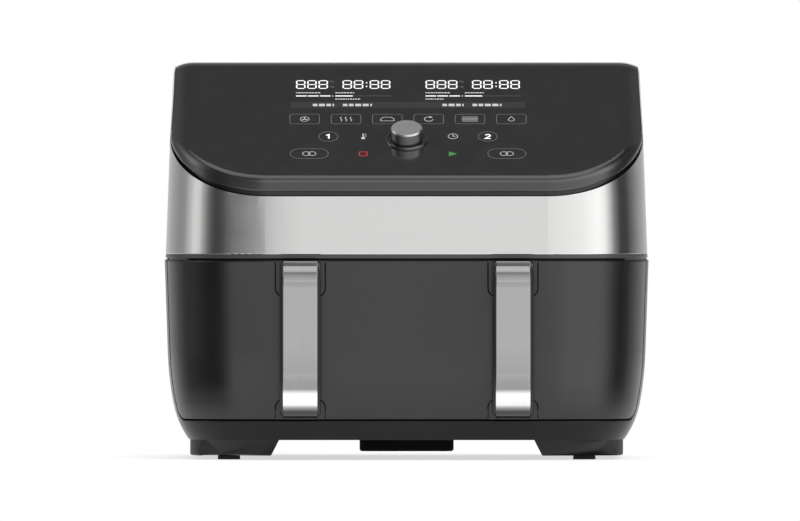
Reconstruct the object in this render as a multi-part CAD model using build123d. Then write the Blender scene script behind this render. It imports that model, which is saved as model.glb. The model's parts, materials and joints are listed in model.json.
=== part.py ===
from build123d import *
import os
from math import cos, radians, sin, tan

# Two-zone air fryer with one wide drawer, a sloped control cover and two strap handles.
# Millimetres. The origin lies on the table under the middle of the body, +Z is up,
# the drawer opens towards -Y and +X is to the right seen from the front.

# Body outline
WIDTH = 383.0                # at the waist, the widest line
FRONT_Y = -166.0             # drawer front at the waist
REAR_Y = 190.0
FRONT_RADIUS = 80.0          # plan corners
REAR_RADIUS = 40.0
TOP_Z = 314.8
SKIN = 2.5                   # moulded wall
FIT = 0.3                    # gap between pieces that slide or are laid in

# Barrel shaped lower body, top to bottom
BASE_Z = 15.8
WAIST_Z = 157.6
DRAFT_END_Z = 83.6
SWELL_END_Z = 43.6
DRAFT_END_INSET = 2.5
SWELL_END_INSET = 7.1
TUCK_INSET = 19.2
CORE_INSET = 34.0            # inner edge of the swept section

# Upper body
UPPER_DRAFT = 2.15           # degrees
TRIM_Z = 159.2
BAND_Z = 162.3
TRIM_ROUND = 0.5
RIB_INSET = 1.0              # closes the gap over the drawer front
UPPER_INSET = 0.9            # at the lower edge of the band
SLOPE = 31.0                 # control panel, degrees from level
PANEL_FRONT_Y = FRONT_Y + 3.1  # front face at the height of the panel edge
SLOPE_FRONT_Z = 222.4        # where the panel would meet the front face
CREST_RADIUS = 28.0
RIM_RADIUS = 8.0
RIM_DROP = 10.8              # cover skirt, measured down from the panel
BAND_DROP = 14.0             # top edge of the steel band, measured the same way
ROLL_WIDTH = 16.0            # rolled side edges of the cover
ROLL_RADIUS = 34.0
ROLL_DEPTH = 20.0
ROLL_RUN = 260.0             # length of the slope the roll is swept along
ROLL_LIFT = 0.03
COVER_THICK = 4.0
BAND_THICK = 1.2
HEM_ROUND = 0.6
FRAME_INSET = 6.5            # inside of the frame that backs the band
REAR_SPLIT_Y = 128.0         # rear cover starts here

# Rear cover
REAR_CUT_Y = REAR_Y - 20.0   # the louvres are cut from here
LOUVRE_PITCH = 8.0
OUTLET_ROWS = 11
OUTLET_Z0 = 196.0
OUTLET_SIZE = (84.0, 3.4)
INLET_ROWS = 4
INLET_X = 60.0
INLET_Z0 = 62.0
INLET_SIZE = (56.0, 3.0)
GLAND_X = 128.0
GLAND_Z = 60.0
GLAND_RADIUS = 8.0
GLAND_COLLAR = 11.0
LEAD_RADIUS = 3.6
SPACER_X = 142.0
SPACER_HALF = 7.0
SPACER_REAR_Y = REAR_Y + 11.0
SPACER_Z0 = 232.0
SPACER_Z1 = 262.0

# Drawer
SEAM_Y = FRONT_Y + 62.0      # side seam between drawer front and housing
SEAM_GAP = 1.0
DRAWER_Z0 = 32.3
DRAWER_Z1 = 157.2
DRAWER_WALL = 3.0
EDGE_ROUND = 0.8             # rounding along the seams
DRAWER_CORNER = 9.0          # lower rear corners of the drawer front
CHIN_Z = 31.3
LINER_Y0 = SEAM_Y - 5.5
LINER_Y1 = SEAM_Y - 2.5
FRAME_Y0 = SEAM_Y + 0.4
FRAME_Y1 = FRAME_Y0 + 4.0
SENSOR_X = 109.0             # reed switch and the magnet it sees
OPENING_HALF = 164.8
OPENING_Z0 = 39.5
OPENING_Z1 = 150.5
PAN_HALF = 157.0
PAN_REAR_Y = 140.0
PAN_Z0 = 40.5
PAN_Z1 = 148.2
PAN_FLANGE = 6.5
PAN_CORNER = 25.0
PAN_FLOOR_ROUND = 10.0
SHEET = 1.2

# Divider and trays
DIVIDER_HALF = 3.0
DIVIDER_Z0 = PAN_Z0 + SHEET + FIT
DIVIDER_Z1 = PAN_Z1 - 1.5
DIVIDER_Y0 = LINER_Y1 + SHEET + FIT
DIVIDER_Y1 = PAN_REAR_Y - SHEET - FIT
STRIP = 3.0                  # silicone strip round the divider
SHOULDER_Y = FRAME_Y1 + 3.0
SHOULDER_Z = DIVIDER_Z1 - 16.0
GRIP_Y = 16.0
GRIP_SIZE = (60.0, 16.0)
CHANNEL_DEPTH = 6.0
CHANNEL_THICK = 1.6
TRAY_Z = 52.0
TRAY_WALL = 1.5
TRAY_RIM = 9.0
TRAY_CORNER = 20.0
TRAY_X0 = 8.0
TRAY_X1 = 153.2
TRAY_Y0 = LINER_Y1 + SHEET + 2.6
TRAY_Y1 = PAN_REAR_Y - SHEET - 2.6
SLOT_COLUMNS = 5
SLOT_ROWS = 15
SLOT_STEP = (24.0, 14.0)
SLOT_SIZE = (15.0, 4.5)
BUMPER_XS = (40.0, 122.0)
BUMPER_INSET = 14.0
BUMPER_RADIUS = 5.0

# Handles
HANDLE_X = 83.8
HANDLE_OUT = 35.0            # stands this far in front of the waist
STRAP_WIDTH = 27.4
STRAP_THICK = 1.6
CORE_WIDTH = 32.0
CORE_THICK = 10.4
HANDLE_Z0 = 33.5
HANDLE_TOP_RADIUS = 20.0
HANDLE_LOW_RADIUS = 36.0
PAD_WIDTH = 38.6
PAD_DEPTH = 1.2
PAD_GAP = 0.5
TOP_PAD_Z = 129.6
LOW_PAD_Z = 47.7
PAD_CORNER = 6.0
HANDLE_SCREW_X = 9.0         # either side of the middle of a handle

# Chamber and air system
CHAMBER_HALF = 166.0
CHAMBER_Z0 = 34.0
CHAMBER_Z1 = 206.0
CHAMBER_REAR_Y = 147.2
ZONE_X = 80.0
ZONE_Y = 22.0
SHAFT_RADIUS = 4.0
FAN_RADIUS = 56.0
ELEMENT_Z = 180.0
TUBE_RADIUS = 3.25
GUARD_Z = 172.5
DECK_Z = 213.0
MOTOR_Z1 = 248.0
SHAFT_Z0 = 188.0
SHAFT_Z1 = 266.0
SHAFT_HOLE = 6.5
OUTER_TURN = 66.0            # the two turns of a heating element
INNER_TURN = 50.0
TURN_START = 108.0           # degrees
LEAD_A_X = 22.0              # its two leads, towards the middle and away from it
LEAD_B_X = 2.0
LEAD_BEND = 12.0
LEAD_REACH = 135.0
GUARD_RADII = (16.0, 30.0, 44.0, 58.0, 72.0)
GUARD_WIRE = 1.3
POST_RADIUS = 1.6
POST_TURNS = (45, 135, 225, 315)
FAN_DISC_Z = 200.0
FAN_BLADES = 9
HUB_RADIUS = 10.0
COOLING_Z0 = 252.0
COOLING_Z1 = 264.0
COOLING_BLADES = 7
MOTOR_FLANGE = 38.0
MOTOR_CAN = 29.0
MOTOR_STACK = 66.0
MOTOR_CAP = 14.0
DECK_HALF = 158.0
DECK_Y0 = -50.0
DECK_Y1 = 142.0
DECK_SHEET = 1.5
PROBE_X = 146.0
PROBE_Y = 100.0
PROBE_RADIUS = 2.5
PROBE_FLANGE = 6.0

# Boards under the panel and on the deck
BOARD_OUT = -24.0
BOARD_UP = 26.0
BOARD_SIZE = (200.0, 118.0)
BOARD_THICK = 1.6
PILLAR_X = 92.0
PILLAR_UP = 51.0
PILLAR_RADIUS = 3.0
DISPLAY_X = 51.4
DISPLAY_UP = 62.0
DISPLAY_SIZE = (86.0, 24.0)
ENCODER_SIZE = 14.0
ENCODER_STEM = 3.0
POWER_X = 70.0
POWER_Y0 = 88.0
POWER_Y1 = 138.0
POWER_LIFT = 5.0
POWER_BLOCKS = (             # x0, x1, y0, y1 and height of the parts on the mains board
    (-60, -34, 96, 130, 24),
    (-26, -8, 98, 112, 16),
    (0, 24, 96, 128, 20),
    (34, 58, 100, 126, 30),
)

# Legs and feet
LEG_OUTER_X = 171.3
LEG_INNER_TOP_X = 100.6
LEG_INNER_LOW_X = 107.1
LEG_Z0 = 3.15
FOOT_X = 140.5
FOOT_RADIUS = 8.7
FOOT_YS = (-96.0, 118.0)
FOOT_STEM = 4.0
STEM_DEPTH = 6.0
LEG_Y0 = -126.0
LEG_Y1 = 150.0
LEG_PLAN_INSET = 20.2
BASE_PLATE = 2.5
BASE_SCREW_XS = (-84.0, 84.0)
BASE_SCREW_YS = (-116.0, 12.0, 140.0)
VENT_ROWS = 7
VENT_SIZE = (50.0, 4.0)
BELLY_HALF_X = 37.3          # shallow cover under the middle
BELLY_HALF_Y = 58.0
BELLY_Z = 5.7

# Knob, on the panel in the middle
KNOB_BACK = 50.6             # behind the front face
KNOB_RADIUS = 12.5
KNOB_HEIGHT = 11.0
RING_RADIUS = 16.85
RING_WIDTH = 2.6
RING_HEIGHT = 1.4
RING_FLOOR = 0.5
PANEL_HOLE = 5.0

CREST_Y = PANEL_FRONT_Y + (TOP_Z - SLOPE_FRONT_Z) / tan(radians(SLOPE))
FAR = 400.0
SIDES = (("left", -1), ("right", 1))


def block(x0, x1, y0, y1, z0, z1):
    """Box between two corners."""
    centre = ((x0 + x1) / 2, (y0 + y1) / 2, (z0 + z1) / 2)
    return Pos(*centre) * Box(x1 - x0, y1 - y0, z1 - z0)


def slab(z0, z1):
    return block(-FAR, FAR, -FAR, FAR, z0, z1)


def between_y(y0, y1):
    return block(-FAR, FAR, y0, y1, -FAR, FAR)


def rod(x, y, z0, z1, radius):
    """Upright cylinder."""
    return Pos(x, y, (z0 + z1) / 2) * Cylinder(radius, z1 - z0)


def tube(x, y, z0, z1, outer, inner):
    return rod(x, y, z0, z1, outer) - rod(x, y, z0 - 1, z1 + 1, inner)


def rounded_block(x0, x1, y0, y1, z0, z1, radius):
    """Box with rounded upright corners."""
    outline = RectangleRounded(x1 - x0, y1 - y0, radius)
    return extrude(Pos((x0 + x1) / 2, (y0 + y1) / 2, z0) * outline, amount=z1 - z0)


def rounded_plate(x0, x1, z0, z1, y0, y1, radius):
    """Upright plate across Y with rounded corners."""
    place = Plane(((x0 + x1) / 2, y0, (z0 + z1) / 2), (1, 0, 0), (0, 1, 0))
    return extrude(place * RectangleRounded(x1 - x0, z1 - z0, radius), amount=y1 - y0)


def side_profile(points, half_width):
    """Prism across X from an outline of (y, z) points."""
    face = make_face(Plane.YZ * Polyline(*points, close=True))
    return extrude(face, amount=half_width, both=True)


# ---- body forms ---------------------------------------------------------------

def plan_path(inset):
    """Closed plan outline that starts in the middle of the front."""
    half = WIDTH / 2 - inset
    front = FRONT_Y + inset
    rear = REAR_Y - inset
    fronts = FRONT_RADIUS - inset
    rears = REAR_RADIUS - inset
    right = FilletPolyline((0, front), (half, front), (half, rear), (0, rear), radius=[fronts, rears])
    left = FilletPolyline((0, rear), (-half, rear), (-half, front), (0, front), radius=[rears, fronts])
    return right + left


def plan(inset):
    return make_face(plan_path(inset))


def upper_inset(z):
    return UPPER_INSET + (z - BAND_Z) * tan(radians(UPPER_DRAFT))


def upper_form(inset, z0=WAIST_Z, z1=TOP_Z + 10):
    """Solid of the drafted upper body."""
    foot = Pos(0, 0, z0) * plan(upper_inset(z0) + inset)
    return extrude(foot, amount=z1 - z0, taper=UPPER_DRAFT)


def barrel_curve(inset):
    """Side of the barrel: first the draft, then a slow swell, then the tuck to the base."""
    draft = Line((inset, WAIST_Z), (inset + DRAFT_END_INSET, DRAFT_END_Z))
    swell = TangentArc(draft @ 1, (inset + SWELL_END_INSET, SWELL_END_Z), tangent=draft % 1)
    tuck = TangentArc(swell @ 1, (inset + TUCK_INSET, BASE_Z), tangent=swell % 1)
    return draft + swell + tuck


def lower_form(inset, z0=BASE_Z, z1=WAIST_Z):
    """Solid of the barrel shaped lower body."""
    foot = (inset + TUCK_INSET, BASE_Z)
    core = Polyline(foot, (CORE_INSET, BASE_Z), (CORE_INSET, WAIST_Z), (inset, WAIST_Z))
    section = Plane((0, FRONT_Y, 0), (0, 1, 0), (1, 0, 0)) * make_face(barrel_curve(inset) + core)
    rim = sweep(section, path=Wire(plan_path(0).edges()))
    middle = extrude(Pos(0, 0, BASE_Z) * plan(CORE_INSET - 3), amount=WAIST_Z - BASE_Z)
    return (rim + middle) & slab(z0, z1)


def under_top(drop, crest_radius=0.0):
    """Everything under the panel slope and the flat top, both lowered by drop."""
    top = TOP_Z - drop
    start_z = top - (CREST_Y + FAR) * tan(radians(SLOPE))
    prism = side_profile([(-FAR, start_z), (CREST_Y, top), (FAR, top), (FAR, -FAR), (-FAR, -FAR)], FAR)
    if crest_radius:
        crest = prism.edges().filter_by(Axis.X).sort_by(lambda e: e.center().Z)[-2:].sort_by(Axis.Y)[0]
        prism = fillet(crest, crest_radius)
    return prism


# ---- panel frame --------------------------------------------------------------

PANEL_UP = Vector(0, cos(radians(SLOPE)), sin(radians(SLOPE)))
PANEL_OUT = Vector(0, -sin(radians(SLOPE)), cos(radians(SLOPE)))
KNOB_POINT = Vector(0, PANEL_FRONT_Y + KNOB_BACK, SLOPE_FRONT_Z + KNOB_BACK * tan(radians(SLOPE)))


def panel_plane(x=0.0, up=0.0, out=0.0):
    """Plane on the control panel; x across, up along the slope from the knob, out of the panel."""
    origin = KNOB_POINT + Vector(x, 0, 0) + PANEL_UP * up + PANEL_OUT * out
    return Plane(origin, (1, 0, 0), PANEL_OUT)


def on_panel(sketch, out0, out1, x=0.0, up=0.0):
    """Plate on the panel between two heights over its face."""
    return extrude(panel_plane(x, up, out0) * sketch, amount=out1 - out0)


# ---- housing --------------------------------------------------------------------

def rolled_sides():
    """Envelope of the cover whose long side edges roll down."""
    flat = WIDTH / 2 - upper_inset(TOP_Z) - ROLL_WIDTH
    reach = ROLL_WIDTH + 3.0
    drop = ROLL_RADIUS - (ROLL_RADIUS ** 2 - reach ** 2) ** 0.5
    slope_start = Vector(0, CREST_Y, TOP_Z) - PANEL_UP * ROLL_RUN
    route = FilletPolyline(
        (0, slope_start.Y, slope_start.Z + ROLL_LIFT),
        (0, CREST_Y, TOP_Z + ROLL_LIFT),
        (0, REAR_Y + 20, TOP_Z + ROLL_LIFT),
        radius=CREST_RADIUS,
    )
    right = RadiusArc((flat, 0), (flat + reach, -drop), ROLL_RADIUS)
    left = RadiusArc((-flat - reach, -drop), (-flat, 0), ROLL_RADIUS)
    edge = Line((-flat, 0), (flat, 0))
    out = flat + reach
    below = Polyline((out, -drop), (out, -ROLL_DEPTH), (-out, -ROLL_DEPTH), (-out, -drop))
    section = Plane(route @ 0, (1, 0, 0), -PANEL_UP) * make_face(left + edge + right + below)
    envelope = sweep(section, path=route)
    return envelope + under_top(ROLL_DEPTH - 8)


def make_top_cover():
    """Cover with the sloped control panel, the flat top and a skirt all round."""
    form = (upper_form(0, 200) & under_top(0, CREST_RADIUS)) - under_top(RIM_DROP)
    form = fillet([e for e in form.edges() if is_front_line(e, 220)], RIM_RADIUS)
    form = fillet([e for e in form.edges() if is_front_line(e, 208)], 1.0)
    form = form & rolled_sides()
    hollow = upper_form(COVER_THICK - 1, 190) & under_top(COVER_THICK)
    return form - hollow - on_panel(Circle(PANEL_HOLE), -2 * COVER_THICK, COVER_THICK)


def is_front_line(edge, z):
    """Straight edge across the front of the cover, within 6 mm over this height."""
    centre = edge.center()
    across = abs(edge.tangent_at(0.5).X) > 0.99
    return across and abs(centre.Y - PANEL_FRONT_Y) < 8 and z < centre.Z < z + 6


def make_steel_band():
    """Steel skin with a softened hem along its lower edge."""
    form = upper_form(0, BAND_Z) & under_top(BAND_DROP)
    form = fillet([e for e in form.edges() if lies_at(e, "Z", BAND_Z)], HEM_ROUND)
    skin = form - upper_form(BAND_THICK, BAND_Z - 1)
    return skin & between_y(-FAR, REAR_SPLIT_Y - SEAM_GAP / 2)


def make_upper_frame():
    """Black frame that backs the steel and carries the cover on a set-back lip."""
    backing = upper_form(BAND_THICK, BAND_Z) & under_top(BAND_DROP + 1.5)
    lip = upper_form(COVER_THICK - 1 + FIT, BAND_Z) & under_top(COVER_THICK)
    frame = backing + lip - upper_form(FRAME_INSET, BAND_Z - 1)
    return frame & between_y(-FAR, REAR_SPLIT_Y - SEAM_GAP / 2)


def make_waist_trim():
    """Trim strip with a floor over the drawer front and a skirt behind the side walls."""
    strip = upper_form(0, TRIM_Z, BAND_Z)
    outline = [e for e in strip.edges() if lies_at(e, "Z", TRIM_Z) or lies_at(e, "Z", BAND_Z)]
    strip = fillet(outline, TRIM_ROUND) - upper_form(FRAME_INSET, TRIM_Z - 1, BAND_Z + 1)
    floor = upper_form(4, TRIM_Z, TRIM_Z + 2) & between_y(-FAR, FRAME_Y1)
    rib = upper_form(RIB_INSET, DRAWER_Z1 + FIT, TRIM_Z + 1) - upper_form(5.5, WAIST_Z - 9, BAND_Z)
    skirt = upper_form(SKIN + 0.7, 150, TRIM_Z) - upper_form(SKIN + 2.7, 149, BAND_Z)
    skirt += upper_form(RIB_INSET, WAIST_Z + FIT, TRIM_Z) - upper_form(SKIN + 2.7, 149, BAND_Z)
    skirt = skirt & between_y(FRAME_Y1 + 1, REAR_SPLIT_Y)
    trim = strip + floor + (rib & between_y(-FAR, SEAM_Y)) + skirt
    return trim & between_y(-FAR, REAR_SPLIT_Y - SEAM_GAP / 2)


def drawer_cutter(grow):
    """Space of the drawer front; its lower rear corners are rounded."""
    cutter = block(-FAR, FAR, -FAR, SEAM_Y + grow, DRAWER_Z0 - grow, FAR)
    corner = cutter.edges().filter_by(Axis.X).sort_by(Axis.Z)[:2].sort_by(Axis.Y)[-1]
    return fillet(corner, DRAWER_CORNER)


def make_lower_housing():
    """Side walls and the chin under the drawer, with a ledge behind the chin."""
    body = lower_form(0) & between_y(-FAR, REAR_SPLIT_Y - SEAM_GAP / 2)
    body -= drawer_cutter(SEAM_GAP)
    seam = [e for e in body.edges() if is_side_seam(e, SEAM_Y + SEAM_GAP)]
    chin = [e for e in body.edges() if lies_at(e, "Z", CHIN_Z) and e.center().Y < SEAM_Y - DRAWER_CORNER + 1]
    body = fillet(seam + chin, EDGE_ROUND)
    return body - (lower_form(SKIN) - chin_ledge())


def chin_ledge():
    return lower_form(SKIN - 0.5, CHIN_Z - 2.5, CHIN_Z) & between_y(-FAR, FRAME_Y0)


def lies_at(edge, axis, value):
    """True if the whole edge lies at one value of an axis."""
    box = edge.bounding_box()
    return abs(getattr(box.min, axis) - value) < 0.1 and abs(getattr(box.max, axis) - value) < 0.1


def is_side_seam(edge, y):
    """Edge across the skin at this Y, out at the sides."""
    return lies_at(edge, "Y", y) and abs(edge.center().X) > OPENING_HALF - 15


def louvres():
    """Air outlet slots behind each fan and small inlet slots low down."""
    slots = Sketch()
    for side in (-1, 1):
        for row in range(OUTLET_ROWS):
            slots += Pos(side * ZONE_X, OUTLET_Z0 + row * LOUVRE_PITCH) * SlotOverall(*OUTLET_SIZE)
        for row in range(INLET_ROWS):
            slots += Pos(side * INLET_X, INLET_Z0 + row * LOUVRE_PITCH) * SlotOverall(*INLET_SIZE)
    place = Plane((0, REAR_CUT_Y, 0), (1, 0, 0), (0, -1, 0))
    return extrude(place * slots, amount=30, both=True)


def make_rear_cover():
    """Back wall with its corners, full height, with the air outlet louvres."""
    front_y = REAR_SPLIT_Y + SEAM_GAP / 2
    body = lower_form(0) + (upper_form(0, WAIST_Z - 0.4) & under_top(BAND_DROP))
    body = body & between_y(front_y, FAR)
    body = fillet([e for e in body.edges() if is_side_seam(e, front_y)], EDGE_ROUND)
    lip = upper_form(COVER_THICK - 1 + FIT, 250) & under_top(COVER_THICK) & between_y(front_y, FAR)
    body = body + lip - lower_form(SKIN) - upper_form(COVER_THICK + 2, WAIST_Z - 1)
    return body - louvres() - gland_hole()


def cross_rod(x, z, y0, y1, radius):
    """Cylinder along Y."""
    return Pos(x, (y0 + y1) / 2, z) * Rot(90, 0, 0) * Cylinder(radius, y1 - y0)


def gland_hole():
    return cross_rod(GLAND_X, GLAND_Z, REAR_CUT_Y, REAR_Y + 20, GLAND_RADIUS)


def make_cord_gland():
    """Bush in the rear wall that the mains lead comes out of."""
    rear = REAR_Y - 3.0
    barrel = cross_rod(GLAND_X, GLAND_Z, rear - 9, rear + 1, GLAND_RADIUS - 0.1)
    collar = cross_rod(GLAND_X, GLAND_Z, rear + 0.4, rear + 4, GLAND_COLLAR)
    return barrel + collar - cross_rod(GLAND_X, GLAND_Z, rear - 20, rear + 20, LEAD_RADIUS)


def make_rear_spacers():
    """Two ribs that keep the air outlet off a wall."""
    body = upper_form(0)
    spacers = []
    for x in (-SPACER_X, SPACER_X):
        x0, x1 = x - SPACER_HALF, x + SPACER_HALF
        rib = rounded_block(x0, x1, REAR_Y - 12, SPACER_REAR_Y, SPACER_Z0, SPACER_Z1, 3.0)
        spacers.append(rib - body)
    return Compound(spacers)


def make_base_plate():
    plate = lower_form(SKIN + 0.1, BASE_Z, BASE_Z + BASE_PLATE)
    holes = Sketch()
    for row in range(VENT_ROWS):
        holes += Pos(0, 3 * VENT_SIZE[1] * (row - VENT_ROWS // 2)) * SlotOverall(*VENT_SIZE)
    return plate - extrude(Pos(0, 0, BASE_Z - 2) * holes, amount=8) - make_base_screws()


def make_base_screws():
    """Screws up through the base plate, beside the legs, with their heads sunk into it."""
    screws = []
    for x in BASE_SCREW_XS:
        for y in BASE_SCREW_YS:
            head = rod(x, y, BASE_Z, BASE_Z + 1.6, 3.6)
            shank = rod(x, y, BASE_Z + 1.5, BASE_Z + 10, 1.8)
            screws.append(head + shank)
    return Compound(screws)


def make_leg_rail(side):
    """Leg under one side; its inner face leans and its ends follow the body corners."""
    outline = [
        (LEG_INNER_TOP_X, BASE_Z),
        (LEG_INNER_LOW_X, LEG_Z0),
        (LEG_OUTER_X, LEG_Z0),
        (LEG_OUTER_X, BASE_Z),
    ]
    face = make_face(Plane.XZ * Polyline(*outline, close=True))
    bar = extrude(face, amount=FAR, both=True) & between_y(LEG_Y0, LEG_Y1)
    bar = bar & extrude(Pos(0, 0, -1) * plan(LEG_PLAN_INSET), amount=40)
    low_edges = [e for e in bar.edges() if abs(e.center().Z - LEG_Z0) < 0.01]
    bar = fillet(low_edges, 1.6)
    if side < 0:
        bar = mirror(bar, about=Plane.YZ)
    for y in FOOT_YS:
        bar -= rod(side * FOOT_X, y, LEG_Z0 - 1, LEG_Z0 + STEM_DEPTH, FOOT_STEM)
    return bar


def make_rubber_feet():
    feet = []
    for side in (-1, 1):
        for y in FOOT_YS:
            pad = Pos(side * FOOT_X, y, LEG_Z0 / 2) * Cone(FOOT_RADIUS + 0.3, FOOT_RADIUS, LEG_Z0)
            feet.append(pad + rod(side * FOOT_X, y, LEG_Z0 - 0.5, LEG_Z0 + STEM_DEPTH, FOOT_STEM))
    return Compound(feet)


def make_underside_cover():
    """Shallow cover under the middle of the base."""
    body = rounded_block(-BELLY_HALF_X, BELLY_HALF_X, -BELLY_HALF_Y, BELLY_HALF_Y, BELLY_Z, BASE_Z, 8.0)
    low_edges = body.edges().filter_by(lambda e: abs(e.center().Z - BELLY_Z) < 0.01)
    return fillet(low_edges, 2.0)


def make_front_frame():
    """Wall behind the drawer front with the opening for the pan."""
    sheet = lower_form(SKIN + 0.1, BASE_Z + BASE_PLATE + 0.1, WAIST_Z - 0.4) & between_y(FRAME_Y0, FRAME_Y1)
    y0, y1 = FRAME_Y0 - 5, FRAME_Y1 + 5
    return sheet - rounded_plate(-OPENING_HALF, OPENING_HALF, OPENING_Z0, OPENING_Z1, y0, y1, 5.0)


# ---- chamber and air system -------------------------------------------------------

def make_inner_chamber():
    """Steel box, open to the front."""
    outer = block(-CHAMBER_HALF, CHAMBER_HALF, FRAME_Y1, CHAMBER_REAR_Y, CHAMBER_Z0, CHAMBER_Z1)
    inner = block(
        -CHAMBER_HALF + SHEET, CHAMBER_HALF - SHEET,
        FRAME_Y1 - 5, CHAMBER_REAR_Y - SHEET,
        CHAMBER_Z0 + SHEET, CHAMBER_Z1 - SHEET,
    )
    box = outer - inner
    for side in (-1, 1):
        box -= rod(side * ZONE_X, ZONE_Y, CHAMBER_Z1 - 10, CHAMBER_Z1 + 10, SHAFT_HOLE)
        for x in (LEAD_A_X, -LEAD_B_X):
            lead_x = side * ZONE_X + x
            box -= cross_rod(lead_x, ELEMENT_Z, CHAMBER_REAR_Y - 10, CHAMBER_REAR_Y + 10, TUBE_RADIUS + 0.1)
        box -= rod(side * PROBE_X, PROBE_Y, CHAMBER_Z1 - 5, CHAMBER_Z1 + 5, PROBE_RADIUS + 0.1)
    return box


def make_ceiling_baffle():
    """Wall between the two air streams, over the divider."""
    return block(-1.5, 1.5, -90, 138, GUARD_Z, CHAMBER_Z1 - SHEET)


def make_guide_rail(side):
    """Rail on the chamber side that carries the pan flange."""
    inner = side * (PAN_HALF + 1.9)
    outer = side * (CHAMBER_HALF - SHEET)
    x0, x1 = sorted((inner, outer))
    top = PAN_Z1 - SHEET - FIT
    return block(x0, x1, FRAME_Y1 + 0.6, PAN_REAR_Y, top - 7.5, top)


def element_path():
    """Double turn in the level plane with both ends led to the rear, about its own centre."""
    outer = CenterArc((0, 0, 0), OUTER_TURN, TURN_START, 324)
    bend = JernArc(outer @ 1, outer % 1, (OUTER_TURN - INNER_TURN) / 2, 180)
    inner = CenterArc((0, 0, 0), INNER_TURN, TURN_START - 36, -324)
    route = [outer, bend, inner]
    for end, heading in ((outer @ 0, (outer % 0) * -1), (inner @ 1, inner % 1)):
        lead = JernArc(end, heading, LEAD_BEND, 72)
        route += [lead, Line(lead @ 1, ((lead @ 1).X, LEAD_REACH))]
    return route


def make_heating_element(side):
    edges = [edge for piece in element_path() for edge in piece.edges()]
    route = Wire(edges)
    section = Plane(route @ 0, z_dir=route % 0) * Circle(TUBE_RADIUS)
    return Pos(side * ZONE_X, ZONE_Y, ELEMENT_Z) * sweep(section, path=route)


def make_element_guard(side):
    """Wire guard under the element: rings on four spokes."""
    guard = Part()
    for radius in GUARD_RADII:
        guard += Torus(radius, GUARD_WIRE)
    reach = GUARD_RADII[-1] - GUARD_RADII[0]
    middle = GUARD_RADII[0] + reach / 2
    for turn in POST_TURNS:
        guard += Rot(0, 0, turn) * Pos(middle, 0, 0) * Rot(0, 90, 0) * Cylinder(GUARD_WIRE, reach)
    return Pos(side * ZONE_X, ZONE_Y, GUARD_Z) * guard


def make_guard_posts(side):
    """Posts that hang the guard from the chamber ceiling, outside the element."""
    posts = []
    for turn in POST_TURNS:
        x = side * ZONE_X + GUARD_RADII[-1] * cos(radians(turn))
        y = ZONE_Y + GUARD_RADII[-1] * sin(radians(turn))
        posts.append(rod(x, y, GUARD_Z + 0.9, CHAMBER_Z1 - SHEET, POST_RADIUS))
    return posts


def make_hot_fan(side):
    """Radial fan: back disc, hub and straight blades."""
    x, y = side * ZONE_X, ZONE_Y
    top = FAN_DISC_Z + SHEET
    fan = rod(x, y, FAN_DISC_Z, top, FAN_RADIUS) + rod(x, y, SHAFT_Z0 + 1, top, HUB_RADIUS)
    for count in range(FAN_BLADES):
        blade = Rot(0, 0, count * 360 / FAN_BLADES) * Pos(38, 0, 0) * Rot(0, 0, 25) * Box(34, SHEET, 9.6)
        fan += Pos(x, y, FAN_DISC_Z - 4.6) * blade
    return fan - rod(x, y, SHAFT_Z0 - 5, top + 5, SHAFT_RADIUS)


def make_motor_shaft(side):
    return rod(side * ZONE_X, ZONE_Y, SHAFT_Z0, SHAFT_Z1, SHAFT_RADIUS)


def make_cooling_fan(side):
    """Small fan on top of the motor that cools the electronics."""
    x, y = side * ZONE_X, ZONE_Y
    fan = tube(x, y, COOLING_Z0, COOLING_Z1, HUB_RADIUS + 1, SHAFT_RADIUS)
    for count in range(COOLING_BLADES):
        blade = Rot(0, 0, count * 360 / COOLING_BLADES) * Pos(23, 0, 0) * Rot(28, 0, 0) * Box(30, 1.4, 11)
        fan += Pos(x, y, (COOLING_Z0 + COOLING_Z1) / 2) * blade
    return fan


def make_motor(side):
    """Open frame motor on a flange."""
    x, y = side * ZONE_X, ZONE_Y
    flange = rod(x, y, DECK_Z, DECK_Z + 2.5, MOTOR_FLANGE)
    can = rod(x, y, DECK_Z + 2, MOTOR_Z1 - 4, MOTOR_CAN)
    stack = Pos(x, y, DECK_Z + 17) * Box(MOTOR_STACK, MOTOR_STACK, 14)
    cap = rod(x, y, MOTOR_Z1 - 4.5, MOTOR_Z1, MOTOR_CAP)
    return flange + can + stack + cap - rod(x, y, DECK_Z - 5, MOTOR_Z1 + 5, SHAFT_RADIUS + FIT)


def make_motor_deck():
    """Bridge over the chamber roof that carries the motors."""
    deck = block(-DECK_HALF, DECK_HALF, DECK_Y0, DECK_Y1, DECK_Z - DECK_SHEET, DECK_Z)
    for side in (-1, 1):
        x0, x1 = sorted((side * DECK_HALF, side * (DECK_HALF - DECK_SHEET)))
        deck += block(x0, x1, DECK_Y0, DECK_Y1, CHAMBER_Z1, DECK_Z)
        deck -= rod(side * ZONE_X, ZONE_Y, DECK_Z - 5, DECK_Z + 5, SHAFT_HOLE)
        deck -= rod(side * PROBE_X, PROBE_Y, DECK_Z - 5, DECK_Z + 5, PROBE_FLANGE + 2)
    return deck


def make_temperature_probes():
    """Sensor tips through the chamber roof with their flanges on top."""
    probes = []
    for x in (-PROBE_X, PROBE_X):
        tip = rod(x, PROBE_Y, CHAMBER_Z1 - 14, CHAMBER_Z1, PROBE_RADIUS)
        probes.append(tip + rod(x, PROBE_Y, CHAMBER_Z1, CHAMBER_Z1 + 3, PROBE_FLANGE))
    return Compound(probes)


# ---- control electronics -----------------------------------------------------------

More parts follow.
